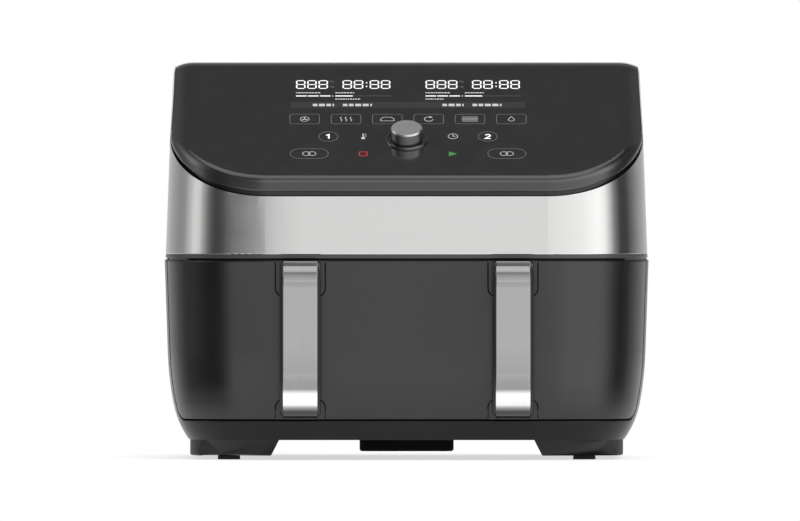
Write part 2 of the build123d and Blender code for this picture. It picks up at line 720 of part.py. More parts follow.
def make_control_board():
    """Board under the panel on four pillars."""
    board = on_panel(Rectangle(*BOARD_SIZE), BOARD_OUT, BOARD_OUT + BOARD_THICK, up=BOARD_UP)
    for x in (-PILLAR_X, PILLAR_X):
        for up in (BOARD_UP - PILLAR_UP, BOARD_UP + PILLAR_UP):
            board += on_panel(Circle(PILLAR_RADIUS), BOARD_OUT + 1, -COVER_THICK, x, up)
    return board


def make_display_modules():
    face = Rectangle(*DISPLAY_SIZE)
    modules = [on_panel(face, BOARD_OUT + BOARD_THICK, -5.5, x, DISPLAY_UP) for x in (-DISPLAY_X, DISPLAY_X)]
    return Compound(modules)


def make_encoder_body():
    body = on_panel(Rectangle(ENCODER_SIZE, ENCODER_SIZE), BOARD_OUT + BOARD_THICK, -9.0)
    return body - on_panel(Circle(ENCODER_STEM + FIT), BOARD_OUT, 0)


def make_encoder_shaft():
    return on_panel(Circle(ENCODER_STEM), BOARD_OUT + 2.2, KNOB_HEIGHT - 3.0)


def make_knob_ring():
    """Bezel laid on the panel round the knob."""
    ring = on_panel(Circle(RING_RADIUS) - Circle(RING_RADIUS - RING_WIDTH), 0, RING_HEIGHT)
    ring = chamfer([e for e in ring.edges() if top_edge(e, RING_RADIUS, RING_HEIGHT)], 0.5)
    return ring + on_panel(Circle(RING_RADIUS - 2) - Circle(PANEL_HOLE), 0, RING_FLOOR)


def top_edge(edge, radius, out):
    """True for the circle of this radius at this height over the panel."""
    if edge.geom_type != GeomType.CIRCLE:
        return False
    height = (edge.arc_center - KNOB_POINT).dot(PANEL_OUT)
    return abs(edge.radius - radius) < 0.01 and abs(height - out) < 0.01


def make_control_knob():
    """Turned knob with a chamfered top edge."""
    knob = on_panel(Circle(KNOB_RADIUS), RING_FLOOR + 2 * FIT, KNOB_HEIGHT)
    knob = chamfer([e for e in knob.edges() if top_edge(e, KNOB_RADIUS, KNOB_HEIGHT)], 1.0)
    return knob - on_panel(Circle(ENCODER_STEM), -5, KNOB_HEIGHT - 3.0)


def make_power_board():
    """Mains board on the deck behind the motors, with its relay, filter and transformer blocks."""
    foot = DECK_Z + POWER_LIFT
    board = block(-POWER_X, POWER_X, POWER_Y0, POWER_Y1, foot, foot + BOARD_THICK)
    for x in (6 - POWER_X, POWER_X - 6):
        for y in (POWER_Y0 + 6, POWER_Y1 - 6):
            board += rod(x, y, DECK_Z, foot + 0.5, PILLAR_RADIUS)
    for x0, x1, y0, y1, height in POWER_BLOCKS:
        board += block(x0, x1, y0, y1, foot + 1, foot + 1 + height)
    return board


# ---- drawer ----------------------------------------------------------------------

def make_drawer_front():
    """Hollow front that wraps round both corners."""
    outer = lower_form(0, DRAWER_Z0, DRAWER_Z1) & drawer_cutter(0)
    outer = fillet(outer.edges(), EDGE_ROUND)
    inner = lower_form(DRAWER_WALL, DRAWER_Z0 + DRAWER_WALL, DRAWER_Z1 - DRAWER_WALL)
    return outer - inner - pad_pockets() - make_handle_screws()


def make_drawer_liner():
    """Inner panel that closes the back of the drawer front."""
    z0 = DRAWER_Z0 + DRAWER_WALL + 0.1
    z1 = DRAWER_Z1 - DRAWER_WALL - 0.1
    return lower_form(DRAWER_WALL + 0.1, z0, z1) & between_y(LINER_Y0, LINER_Y1)


def make_drawer_seal():
    """Frame shaped seal that meets the front frame."""
    y1 = FRAME_Y0 - FIT
    outer = rounded_plate(-170.5, 170.5, 35.7, 153.8, LINER_Y1, y1, 8.0)
    inner = rounded_plate(-165.6, 165.6, 38.7, 151.4, LINER_Y1 - 5, y1 + 5, 6.0)
    return outer - inner


def make_drawer_pan():
    """One wide pan with a flange on three sides."""
    outer = rounded_block(-PAN_HALF, PAN_HALF, LINER_Y1, PAN_REAR_Y, PAN_Z0, PAN_Z1, PAN_CORNER)
    inner = rounded_block(
        -PAN_HALF + SHEET, PAN_HALF - SHEET,
        LINER_Y1 + SHEET, PAN_REAR_Y - SHEET,
        PAN_Z0 + SHEET, PAN_Z1 + 10, PAN_CORNER - SHEET,
    )
    outer = fillet(outer.edges().group_by(Axis.Z)[0], PAN_FLOOR_ROUND)
    inner = fillet(inner.edges().group_by(Axis.Z)[0], PAN_FLOOR_ROUND - SHEET)
    flange = rounded_block(
        -PAN_HALF - PAN_FLANGE, PAN_HALF + PAN_FLANGE,
        LINER_Y1, PAN_REAR_Y + 3, PAN_Z1 - SHEET, PAN_Z1, PAN_CORNER,
    )
    return outer + flange - inner


def make_divider_channels():
    """Channels on the front and rear pan walls that hold the divider."""
    front = LINER_Y1 + SHEET
    rear = PAN_REAR_Y - SHEET - CHANNEL_DEPTH
    inner = DIVIDER_HALF + FIT
    channels = []
    for y in (front, rear):
        for side in (-1, 1):
            x0, x1 = sorted((side * inner, side * (inner + CHANNEL_THICK)))
            channels.append(block(x0, x1, y, y + CHANNEL_DEPTH, PAN_Z0 + 14, PAN_Z1 - 4))
    return Compound(channels)


def divider_outline(trim, z1, shoulder_z):
    """Divider seen from the side; its front shoulder clears the frame when it is lifted."""
    y0, y1 = DIVIDER_Y0 + trim, DIVIDER_Y1 - trim
    plate = block(-DIVIDER_HALF, DIVIDER_HALF, y0, y1, DIVIDER_Z0 + trim, z1)
    low = plate.edges().filter_by(Axis.X).sort_by(Axis.Z)[:2]
    return fillet(low, PAN_FLOOR_ROUND - trim) - block(-FAR, FAR, y0 - 1, SHOULDER_Y, shoulder_z, FAR)


def make_divider():
    """Divider plate with a finger slot near its top edge."""
    plate = divider_outline(STRIP, DIVIDER_Z1, SHOULDER_Z)
    slot = extrude(SlotOverall(*GRIP_SIZE, rotation=90), amount=20, both=True)
    return plate - Pos(0, GRIP_Y, DIVIDER_Z1 - 14) * Rot(0, 90, 0) * slot


def make_divider_seal():
    """Silicone strip round the ends and the foot of the divider."""
    outer = divider_outline(0, DIVIDER_Z1 - 2, SHOULDER_Z - 2)
    inner = divider_outline(STRIP, DIVIDER_Z1 + 5, SHOULDER_Z)
    return outer - inner


def make_tray(side):
    """Perforated crisper tray with a low rim."""
    x0, x1 = sorted((side * TRAY_X0, side * TRAY_X1))
    top = TRAY_Z + TRAY_RIM
    outer = rounded_block(x0, x1, TRAY_Y0, TRAY_Y1, TRAY_Z, top, TRAY_CORNER)
    inner = rounded_block(
        x0 + TRAY_WALL, x1 - TRAY_WALL,
        TRAY_Y0 + TRAY_WALL, TRAY_Y1 - TRAY_WALL,
        TRAY_Z + TRAY_WALL, top + 3, TRAY_CORNER - TRAY_WALL,
    )
    across, along = SLOT_STEP
    slots = Sketch()
    for column in range(SLOT_COLUMNS):
        for row in range(SLOT_ROWS):
            stagger = across / 8 if row % 2 else -across / 8
            x = across * (column - SLOT_COLUMNS // 2) + stagger
            slots += Pos(x, along * (row - SLOT_ROWS // 2)) * SlotOverall(*SLOT_SIZE)
    holes = extrude(Pos((x0 + x1) / 2, (TRAY_Y0 + TRAY_Y1) / 2, TRAY_Z - 5) * slots, amount=10)
    return outer - inner - holes


def make_tray_bumpers(side):
    """Silicone feet that hold the tray off the pan floor and walls."""
    feet = []
    for x in BUMPER_XS:
        for y in (TRAY_Y0 + BUMPER_INSET, TRAY_Y1 - BUMPER_INSET):
            feet.append(rod(side * x, y, PAN_Z0 + SHEET + FIT, TRAY_Z, BUMPER_RADIUS))
    return Compound(feet)


def handle_outline(thick0, thick1):
    """Bow between two depths behind its front line, in the side view."""
    front = FRONT_Y - HANDLE_OUT
    root = FRONT_Y + 2.5

    def bow(depth):
        points = [(root, DRAWER_Z1 - depth), (front + depth, DRAWER_Z1 - depth)]
        points += [(front + depth, HANDLE_Z0 + depth), (root + 12, HANDLE_Z0 + depth)]
        radii = [HANDLE_TOP_RADIUS - depth, HANDLE_LOW_RADIUS - depth]
        return FilletPolyline(*points, radius=radii)

    outer = bow(thick0)
    inner = bow(thick1)
    return make_face(outer + Line(outer @ 0, inner @ 0) + inner + Line(outer @ 1, inner @ 1))


def handle_bow(width, thick0, thick1, edge_round):
    bow = extrude(Plane.YZ * handle_outline(thick0, thick1), amount=width / 2, both=True) - lower_form(0)
    long_edges = [e for e in bow.edges() if abs(abs(e.center().X) - width / 2) < 0.01 and e.length > 6]
    return fillet(long_edges, edge_round)


def make_handle_core(side):
    core = Pos(side * HANDLE_X, 0, 0) * handle_bow(CORE_WIDTH, STRAP_THICK, STRAP_THICK + CORE_THICK, 2.0)
    return core - make_handle_screws()


def make_handle_strap(side):
    return Pos(side * HANDLE_X, 0, 0) * handle_bow(STRAP_WIDTH, 0, STRAP_THICK, 0.75)


def pad_stamps(grow):
    """Outlines of the four mounting pads, as prisms through the drawer front."""
    half = PAD_WIDTH / 2 + grow
    stamps = []
    for side in (-1, 1):
        x0, x1 = side * HANDLE_X - half, side * HANDLE_X + half
        for z0, z1 in ((TOP_PAD_Z - grow, DRAWER_Z1 + 20), (DRAWER_Z0 - 20, LOW_PAD_Z + grow)):
            stamps.append(rounded_plate(x0, x1, z0, z1, -FAR, 0, PAD_CORNER + grow))
    return stamps


def make_handle_pads():
    """Mounting pads let in flush under both ends of each handle."""
    z0 = DRAWER_Z0 + EDGE_ROUND
    z1 = DRAWER_Z1 - EDGE_ROUND
    skin = lower_form(0, z0, z1) - lower_form(PAD_DEPTH, z0, z1)
    return Compound([(skin & stamp) - make_handle_screws() for stamp in pad_stamps(0)])


def pad_pockets():
    """Recesses in the drawer front for the pads, a little larger than they are."""
    pockets = lower_form(-1) - lower_form(PAD_DEPTH)
    return [pockets & stamp for stamp in pad_stamps(PAD_GAP)]


def make_handle_screws():
    """Screws from inside the drawer front into both ends of each handle core."""
    places = ((DRAWER_Z1 - 7, FRONT_Y), (HANDLE_Z0 + 7.5, FRONT_Y + 0.45 * TUCK_INSET))
    screws = []
    for x in (-HANDLE_X, HANDLE_X):
        for offset in (-HANDLE_SCREW_X, HANDLE_SCREW_X):
            for z, face_y in places:
                inside = face_y + DRAWER_WALL
                head = cross_rod(x + offset, z, inside, inside + 2, 3.2)
                screws.append(head + cross_rod(x + offset, z, inside - 9, inside + 1, 1.6))
    return Compound(screws)


def make_reed_switch():
    """Sensor on the back of the front frame that sees the drawer magnet."""
    return block(SENSOR_X - 9, SENSOR_X + 9, FRAME_Y1, FRAME_Y1 + 6, 152.5, 157)


def make_drawer_magnet():
    return block(SENSOR_X - 7, SENSOR_X + 7, LINER_Y0 - 5, LINER_Y0, 144, 152)


# ---- write every piece ---------------------------------------------------------------

def collect_pieces():
    pieces = {
        "top_cover": make_top_cover(),
        "steel_band": make_steel_band(),
        "upper_frame": make_upper_frame(),
        "waist_trim": make_waist_trim(),
        "lower_housing": make_lower_housing(),
        "rear_cover": make_rear_cover(),
        "cord_gland": make_cord_gland(),
        "rear_spacers": make_rear_spacers(),
        "base_plate": make_base_plate(),
        "base_screws": make_base_screws(),
        "rubber_feet": make_rubber_feet(),
        "underside_cover": make_underside_cover(),
        "front_frame": make_front_frame(),
        "inner_chamber": make_inner_chamber(),
        "ceiling_baffle": make_ceiling_baffle(),
        "temperature_probes": make_temperature_probes(),
        "motor_deck": make_motor_deck(),
        "control_board": make_control_board(),
        "display_modules": make_display_modules(),
        "encoder_body": make_encoder_body(),
        "encoder_shaft": make_encoder_shaft(),
        "knob_ring": make_knob_ring(),
        "control_knob": make_control_knob(),
        "power_board": make_power_board(),
        "reed_switch": make_reed_switch(),
        "drawer_magnet": make_drawer_magnet(),
        "drawer_front": make_drawer_front(),
        "drawer_liner": make_drawer_liner(),
        "drawer_seal": make_drawer_seal(),
        "handle_pads": make_handle_pads(),
        "handle_screws": make_handle_screws(),
        "drawer_pan": make_drawer_pan(),
        "divider_channels": make_divider_channels(),
        "divider": make_divider(),
        "divider_seal": make_divider_seal(),
    }
    for name, side in SIDES:
        pieces[name + "_leg_rail"] = make_leg_rail(side)
        pieces[name + "_guide_rail"] = make_guide_rail(side)
        pieces[name + "_heating_element"] = make_heating_element(side)
        pieces[name + "_element_guard"] = make_element_guard(side) + make_guard_posts(side)
        pieces[name + "_hot_fan"] = make_hot_fan(side)
        pieces[name + "_motor_shaft"] = make_motor_shaft(side)
        pieces[name + "_cooling_fan"] = make_cooling_fan(side)
        pieces[name + "_motor"] = make_motor(side)
        pieces[name + "_tray"] = make_tray(side)
        pieces[name + "_tray_bumpers"] = make_tray_bumpers(side)
        pieces[name + "_handle_core"] = make_handle_core(side)
        pieces[name + "_handle_strap"] = make_handle_strap(side)
    return pieces


def write_pieces():
    os.makedirs("parts", exist_ok=True)
    for name, piece in collect_pieces().items():
        export_step(piece, f"parts/{name}.step")


write_pieces()
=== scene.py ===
import json
import math
import random

import bmesh
import bpy
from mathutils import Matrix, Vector


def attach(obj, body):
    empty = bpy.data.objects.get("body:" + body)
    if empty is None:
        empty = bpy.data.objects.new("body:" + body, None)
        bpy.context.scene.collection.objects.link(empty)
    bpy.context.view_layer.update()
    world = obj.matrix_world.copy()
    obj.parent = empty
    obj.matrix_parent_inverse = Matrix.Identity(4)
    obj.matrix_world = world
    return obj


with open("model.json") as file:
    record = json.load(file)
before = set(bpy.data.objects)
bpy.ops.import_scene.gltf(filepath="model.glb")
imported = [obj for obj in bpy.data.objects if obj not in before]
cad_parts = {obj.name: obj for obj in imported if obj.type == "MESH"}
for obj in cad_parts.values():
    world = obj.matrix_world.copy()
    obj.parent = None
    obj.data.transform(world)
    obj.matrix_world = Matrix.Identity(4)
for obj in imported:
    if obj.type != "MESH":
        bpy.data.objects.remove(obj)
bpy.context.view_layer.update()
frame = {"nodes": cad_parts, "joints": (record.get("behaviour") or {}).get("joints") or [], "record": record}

MM = 0.001
NODES = frame["nodes"]
JOINTS = {joint["name"]: joint for joint in frame["joints"]}

# ---- the control panel's own axes ----------------------------------------------

ACROSS = Vector((1.0, 0.0, 0.0))
UP = Vector((0.0, 0.0, 1.0))
PANEL_OUT = Vector(JOINTS["knob_turn"]["axis"]).normalized()
PANEL_UP = PANEL_OUT.cross(ACROSS).normalized()
PANEL_CENTRE = Vector(JOINTS["knob_turn"]["pos_m"])


def on_panel(x, up, out=0.0):
    """Point on the panel; x across, up along the slope from the knob, out of its face, all in mm."""
    return PANEL_CENTRE + ACROSS * (x * MM) + PANEL_UP * (up * MM) + PANEL_OUT * (out * MM)


# ---- node helpers ----------------------------------------------------------------

class Nodes:
    """Small builder for a shader node tree."""

    def __init__(self, tree):
        self.tree = tree

    def feed(self, socket, value):
        """Links a socket to an output, or sets it to a plain value."""
        if isinstance(value, bpy.types.NodeSocket):
            self.tree.links.new(value, socket)
        else:
            socket.default_value = value

    def node(self, kind, **inputs):
        """New node of a kind, its sockets by name with _ for a space."""
        made = self.tree.nodes.new("ShaderNode" + kind)
        for key, value in inputs.items():
            self.feed(made.inputs[key.replace("_", " ")], value)
        return made

    def operate(self, kind, operation, values):
        """New node of a kind, fed with values in the order of its sockets."""
        made = self.node(kind)
        if operation:
            made.operation = operation
        for socket, value in zip(made.inputs, values):
            self.feed(socket, value)
        return made

    def math(self, operation, *values):
        return self.operate("Math", operation, values).outputs["Value"]

    def vector_math(self, operation, *values, output="Vector"):
        return self.operate("VectorMath", operation, values).outputs[output]

    def stops(self, factor, stops):
        """Colour ramp of greys through (position from 0 to 1, value) stops."""
        made = self.node("ValToRGB", Fac=factor)
        points = made.color_ramp.elements
        while len(points) < len(stops):
            points.new(0.5)
        for point, (position, value) in zip(points, stops):
            point.position = position
            point.color = (value, value, value, 1.0)
        return made


class Material(Nodes):
    """Node material round one Principled shader, in the object's own coordinates."""

    def __init__(self, name):
        self.material = bpy.data.materials.new(name)
        self.material.use_nodes = True
        super().__init__(self.material.node_tree)
        self.shader = self.tree.nodes["Principled BSDF"]
        self.place = self.node("TexCoord").outputs["Object"]

    def set(self, **values):
        """Plain shader values by name, with _ for a space."""
        for key, value in values.items():
            self.shader.inputs[key.replace("_", " ")].default_value = value
        return self

    def link(self, output, socket_name):
        self.tree.links.new(output, self.shader.inputs[socket_name.replace("_", " ")])

    def scaled(self, x, y, z):
        """Coordinates stretched by a factor along each axis."""
        return self.node("Mapping", Vector=self.place, Scale=(x, y, z)).outputs["Vector"]

    def noise(self, vector, scale, detail=2.0, rough=0.5):
        made = self.node("TexNoise", Vector=vector, Scale=scale, Detail=detail, Roughness=rough)
        return made.outputs["Fac"]

    def ramp(self, factor, low, high, out_low, out_high):
        """Maps low..high of factor to out_low..out_high, clamped."""
        made = self.node(
            "MapRange", Value=factor, From_Min=low, From_Max=high, To_Min=out_low, To_Max=out_high)
        return made.outputs["Result"]

    def mix(self, factor, colour_a, colour_b):
        made = self.tree.nodes.new("ShaderNodeMix")
        made.data_type = "RGBA"
        self.tree.links.new(factor, made.inputs["Factor"])
        made.inputs["A"].default_value = (*colour_a, 1.0)
        made.inputs["B"].default_value = (*colour_b, 1.0)
        return made.outputs["Result"]

    def along_mm(self, axis, origin=(0.0, 0.0, 0.0)):
        """Distance along a direction from an origin, in mm, in the pose at rest."""
        away = self.vector_math("SUBTRACT", self.place, origin)
        return self.math("DIVIDE", self.vector_math("DOT_PRODUCT", away, axis, output="Value"), MM)

    def curve(self, factor, stops):
        """Piecewise linear map through (factor, value) stops."""
        low, high = stops[0][0], stops[-1][0]
        even = [((place - low) / (high - low), value) for place, value in stops]
        return self.stops(self.ramp(factor, low, high, 0.0, 1.0), even).outputs["Color"]

    def add(self, *factors):
        """Sum of several outputs."""
        total = factors[0]
        for factor in factors[1:]:
            total = self.math("ADD", total, factor)
        return total

    def bump(self, height, strength, distance_mm):
        made = self.node("Bump", Height=height, Strength=strength, Distance=distance_mm * MM)
        self.link(made.outputs["Normal"], "Normal")
        return self


# ---- materials --------------------------------------------------------------------

def moulded_plastic(name, dark, light, rough, grain_mm, grain_depth_mm, specular=0.5):
    """Spark-eroded moulded plastic: fine grain, slow tone drift and slightly uneven gloss."""
    m = Material(name)
    grain = m.noise(m.place, 1.0 / (grain_mm * MM), 3.0, 0.6)
    drift = m.noise(m.place, 14.0, 3.0, 0.55)
    m.link(m.mix(m.ramp(m.add(grain, drift), 0.75, 1.25, 0.0, 1.0), dark, light), "Base Color")
    m.link(m.ramp(m.add(grain, drift), 0.7, 1.3, rough - 0.04, rough + 0.04), "Roughness")
    m.set(Specular_IOR_Level=specular)
    return m.bump(grain, 0.5, grain_depth_mm).material


def gloss_cover_material():
    """Gloss black cover with a hard top coat, a faint moulding ripple and fine hairlines."""
    m = Material("gloss black cover")
    ripple = m.noise(m.place, 60.0, 2.0, 0.4)
    hair = m.noise(m.place, 2600.0, 1.0, 0.5)
    m.link(m.mix(ripple, (0.018, 0.018, 0.019), (0.022, 0.022, 0.023)), "Base Color")
    m.link(m.ramp(m.add(ripple, hair), 0.7, 1.3, 0.16, 0.26), "Roughness")
    m.set(Specular_IOR_Level=0.5, Coat_Weight=1.0, Coat_Roughness=0.08)
    return m.bump(m.add(ripple, hair), 0.05, 0.02).material


def brushed_steel(name, tint, rough, along, streak=1.0, shade=None):
    """Steel brushed along the axis that is left unstretched in along.

    shade gives an axis and (distance in mm, brightness) stops along it. It is painted into the
    colour, on top of what the studio reflects.
    """
    m = Material(name)
    fine = m.noise(m.scaled(*[6.0 if keep else 3600.0 for keep in along]), 1.0, 2.0, 0.6)
    broad = m.noise(m.scaled(*[2.0 if keep else 900.0 for keep in along]), 1.0, 2.0, 0.5)
    both = m.add(fine, broad)
    darker = tuple(c * (1.0 - 0.05 * streak) for c in tint)
    colour = m.mix(m.ramp(both, 0.8, 1.2, 0.0, 1.0), darker, tint)
    if shade:
        axis, stops = shade
        colour = m.vector_math("MULTIPLY", colour, m.curve(m.along_mm(axis), stops))
    m.link(colour, "Base Color")
    m.link(m.ramp(both, 0.75, 1.25, rough - 0.02 * streak, rough + 0.03 * streak), "Roughness")
    m.set(Metallic=1.0)
    return m.bump(fine, 0.05 * streak, 0.002).material


def rubber_material(name, colour, rough=0.75):
    m = Material(name)
    grain = m.noise(m.place, 1500.0, 3.0, 0.6)
    lighter = tuple(c * 1.5 for c in colour)
    m.link(m.mix(grain, colour, lighter), "Base Color")
    m.link(m.ramp(grain, 0.3, 0.7, rough - 0.08, rough + 0.08), "Roughness")
    m.set(Specular_IOR_Level=0.3)
    return m.bump(grain, 0.4, 0.05).material


def speckled_coating():
    """Ceramic non-stick coat: fine pale specks in a dark film with a soft sheen."""
    m = Material("speckled coating")
    cells = m.node("TexVoronoi", Vector=m.place, Scale=900.0)
    specks = m.ramp(cells.outputs["Distance"], 0.0, 0.16, 1.0, 0.0)
    ripple = m.noise(m.place, 300.0, 2.0, 0.5)
    m.link(m.mix(specks, (0.022, 0.022, 0.023), (0.075, 0.075, 0.075)), "Base Color")
    m.link(m.ramp(ripple, 0.3, 0.7, 0.3, 0.42), "Roughness")
    m.set(Specular_IOR_Level=0.5, Coat_Weight=0.3, Coat_Roughness=0.25)
    return m.bump(ripple, 0.15, 0.03).material


def sheet_steel(name, tint, rough):
    """Plain rolled sheet with broad spangle."""
    m = Material(name)
    cells = m.node("TexVoronoi", Vector=m.place, Scale=110.0)
    rolled = m.noise(m.scaled(3.0, 300.0, 300.0), 1.0, 2.0, 0.5)
    spangle = m.ramp(cells.outputs["Distance"], 0.0, 0.9, 0.0, 1.0)
    m.link(m.mix(spangle, tuple(c * 0.82 for c in tint), tint), "Base Color")
    m.link(m.ramp(m.add(rolled, spangle), 0.5, 1.5, rough, rough + 0.14), "Roughness")
    m.set(Metallic=1.0)
    return m.bump(rolled, 0.1, 0.02).material


def heated_tube():
    """Tubular heater with brown and blue heat tint."""
    m = Material("heater tube")
    patches = m.noise(m.place, 26.0, 3.0, 0.6)
    fine = m.noise(m.place, 900.0, 2.0, 0.5)
    tint = m.mix(m.ramp(patches, 0.35, 0.65, 0.0, 1.0), (0.10, 0.075, 0.06), (0.13, 0.135, 0.15))
    m.link(tint, "Base Color")
    m.link(m.ramp(fine, 0.3, 0.7, 0.4, 0.58), "Roughness")
    m.set(Metallic=0.8)
    return m.bump(fine, 0.2, 0.04).material


def turned_metal(name, tint, rough, centre, axis, side_painted_shade=1.0, face_mm=0.0):
    """Metal turned on a lathe: fine rings about an axis; under face_mm the colour is darker, painted shade
    on the side.
    """
    m = Material(name)
    away = m.vector_math("SUBTRACT", m.place, centre)
    radius = m.vector_math("LENGTH", m.vector_math("CROSS_PRODUCT", away, axis), output="Value")
    rings = m.node("TexNoise", Scale=5200.0)
    rings.noise_dimensions = "1D"
    m.feed(rings.inputs["W"], radius)
    colour = m.mix(rings.outputs["Fac"], tuple(c * 0.9 for c in tint), tint)
    # Painted shade: under face_mm the colour is darkened by this factor.
    side = m.ramp(m.along_mm(axis, centre), face_mm - 0.2, face_mm, side_painted_shade, 1.0)
    m.link(m.vector_math("MULTIPLY", colour, side), "Base Color")
    m.link(m.ramp(rings.outputs["Fac"], 0.3, 0.7, rough - 0.04, rough + 0.06), "Roughness")
    m.set(Metallic=1.0)
    return m.bump(rings.outputs["Fac"], 0.2, 0.01).material


def print_material(name, colour, strength):
    """Screen print or lit segment: an even film with a faint random tone."""
    m = Material(name)
    film = m.noise(m.place, 4000.0, 1.0, 0.5)
    m.link(m.mix(film, tuple(c * 0.92 for c in colour), colour), "Base Color")
    m.link(m.ramp(film, 0.3, 0.7, 0.4, 0.5), "Roughness")
    m.set(Emission_Color=(*colour, 1.0), Emission_Strength=strength)
    return m.material


def circuit_board():
    m = Material("circuit board")
    tracks = m.node("TexBrick", Vector=m.place, Scale=160.0)
    m.link(m.mix(tracks.outputs["Fac"], (0.012, 0.06, 0.03), (0.03, 0.11, 0.055)), "Base Color")
    m.set(Roughness=0.35)
    return m.material


# Shade painted into the brushed steel by place in mm, across the band and up the handle straps.
# It stands in for part of the reflections there and isn't a difference in the metal itself.
BAND_SHADE = (
    (-190.0, 1.0), (-124.0, 1.0), (-111.6, 0.72), (-104.0, 0.84), (-95.0, 0.92), (-82.0, 1.0),
    (190.0, 1.0),
)
HANDLE_SHADE = (
    (35.5, 0.01), (38.8, 0.07), (41.8, 0.40), (44.0, 1.0), (52.5, 1.0), (56.5, 0.31),
    (64.0, 0.31), (72.0, 0.36), (90.0, 0.40), (137.0, 0.40), (139.0, 0.44), (143.0, 0.26),
    (146.0, 0.34), (147.8, 0.50), (149.5, 0.31), (151.7, 0.40), (154.3, 0.42), (155.6, 0.16),
    (157.6, 0.09),
)

# Height of the knob's top face over the panel, in mm; the side below it has painted shade.
KNOB_FACE = 10.9

MATERIALS = {
    "gloss_black": gloss_cover_material(),
    "band_steel": brushed_steel(
        "brushed band", (0.725, 0.72, 0.715), 0.15, (True, True, False), 0.35, (ACROSS, BAND_SHADE)),
    "satin_black": moulded_plastic(
        "satin black", (0.011, 0.011, 0.0115), (0.014, 0.014, 0.0145), 0.17, 0.35, 0.006, 0.56),
    "matt_black": moulded_plastic(
        "matt black", (0.013, 0.013, 0.0135), (0.018, 0.018, 0.0185), 0.4, 0.4, 0.02, 0.3),
    "trim_grey": moulded_plastic(
        "trim grey", (0.056, 0.056, 0.056), (0.064, 0.064, 0.064), 0.25, 0.35, 0.01),
    "belly_black": moulded_plastic(
        "dull black", (0.003, 0.003, 0.003), (0.005, 0.005, 0.005), 0.6, 0.4, 0.02, 0.06),
    "ring_metal": turned_metal("turned ring", (0.15, 0.15, 0.15), 0.25, PANEL_CENTRE, PANEL_OUT),
    "foot_rubber": rubber_material("foot rubber", (0.012, 0.012, 0.012)),
    "handle_steel": brushed_steel(
        "brushed handle", (0.98, 0.98, 0.975), 0.13, (False, True, True), 0.7, (UP, HANDLE_SHADE)),
    "chamber_steel": sheet_steel("chamber sheet", (0.42, 0.41, 0.40), 0.3),
    "element_steel": heated_tube(),
    "fan_aluminium": sheet_steel("fan sheet", (0.75, 0.75, 0.75), 0.25),
    "shaft_steel": brushed_steel("ground steel", (0.5, 0.5, 0.5), 0.2, (True, True, False), 0.5),
    "fan_plastic": moulded_plastic(
        "fan plastic", (0.03, 0.03, 0.03), (0.045, 0.045, 0.045), 0.5, 0.4, 0.03),
    "motor_metal": sheet_steel("motor stack", (0.3, 0.3, 0.31), 0.35),
    "board_green": circuit_board(),
    "module_black": moulded_plastic(
        "module black", (0.02, 0.02, 0.02), (0.03, 0.03, 0.03), 0.4, 0.3, 0.02),
    # The knob's side under KNOB_FACE is darkened to 0.55 of its colour: painted shade.
    "knob_metal": turned_metal(
        "turned knob", (0.84, 0.84, 0.84), 0.3, PANEL_CENTRE, PANEL_OUT, 0.55, KNOB_FACE),
    "seal_silicone": rubber_material("silicone", (0.03, 0.03, 0.03), 0.6),
    "pan_coating": speckled_coating(),
    "divider_plastic": moulded_plastic(
        "divider plastic", (0.035, 0.035, 0.035), (0.05, 0.05, 0.05), 0.45, 0.4, 0.03),
}

LEG_PLASTIC = moulded_plastic(
    "leg plastic", (0.016, 0.016, 0.0165), (0.020, 0.020, 0.0205), 0.5, 0.35, 0.006, 0.35)

# Nodes that look a little different from the rest of their slot.
OWN_MATERIALS = {
    "lower_housing": moulded_plastic(
        "housing black", (0.011, 0.011, 0.0115), (0.014, 0.014, 0.0145), 0.24, 0.35, 0.006, 0.2),
    "handle_pads": MATERIALS["satin_black"],
    "left_leg_rail": LEG_PLASTIC,
    "right_leg_rail": LEG_PLASTIC,
}

# Edges that turn by less than this are shaded smooth.
SHARP_FROM = math.radians(24)
SLOT_OF = {part["node"]: part["material_slot"] for part in frame["record"]["subparts"]}


def dress_nodes():
    """Gives every CAD node the material of its slot and smooth curved faces."""
    for name, node in NODES.items():
        node.data.materials.clear()
        node.data.materials.append(OWN_MATERIALS.get(name, MATERIALS[SLOT_OF[name]]))
        node.data.polygons.foreach_set("use_smooth", [True] * len(node.data.polygons))
        node.data.set_sharp_from_angle(angle=SHARP_FROM)


dress_nodes()

# ---- pieces the CAD doesn't have --------------------------------------------------------

def add_piece(name, mesh, material, body):
    """Turns a bmesh into a piece that moves with a body."""
    bmesh.ops.recalc_face_normals(mesh, faces=mesh.faces)
    data = bpy.data.meshes.new(name)
    mesh.to_mesh(data)
    mesh.free()
    data.materials.append(material)
    piece = bpy.data.objects.new(name, data)
    bpy.context.scene.collection.objects.link(piece)
    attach(piece, body)


# ---- printed and lit marks on the panel -----------------------------------------------

# How far the prints and the strip stand off the panel's face, and how thick they are, in mm.
PRINT_LIFT = 0.09
STRIP_LIFT = 0.02
PRINT_THICK = 0.05


